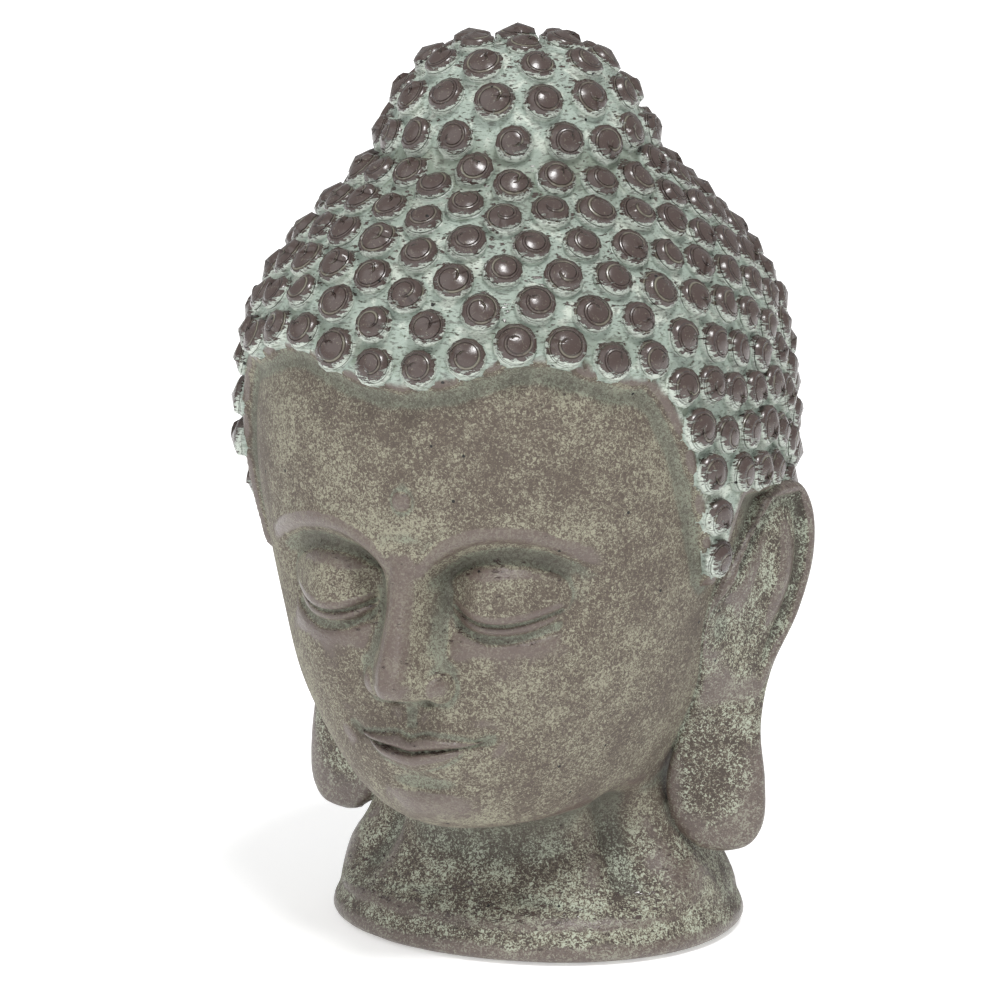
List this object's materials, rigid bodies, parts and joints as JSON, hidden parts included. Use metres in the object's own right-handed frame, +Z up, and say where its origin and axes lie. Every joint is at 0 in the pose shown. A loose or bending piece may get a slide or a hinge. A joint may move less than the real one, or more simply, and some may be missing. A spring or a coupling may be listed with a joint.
{
  "type": "buddha head garden statue",
  "caption": "Cast Buddha head with snail-curl hair, top knot, long ears and a flared neck that it stands on.",
  "frame": {"origin": "centre of the bounding box on the surface that the head stands on", "axes": "+Z up, the face looks towards -Y, the statue's own left ear is on +X"},
  "size_m": [0.2452, 0.2771, 0.4044],
  "materials": {
    "cast_stone": "cast, painted purplish brown, pale green wash in the hollows, curls worn glossy"
  },
  "bodies": {
    "root": {"buddha_head": "cast_stone"}
  },
  "joints": []
}
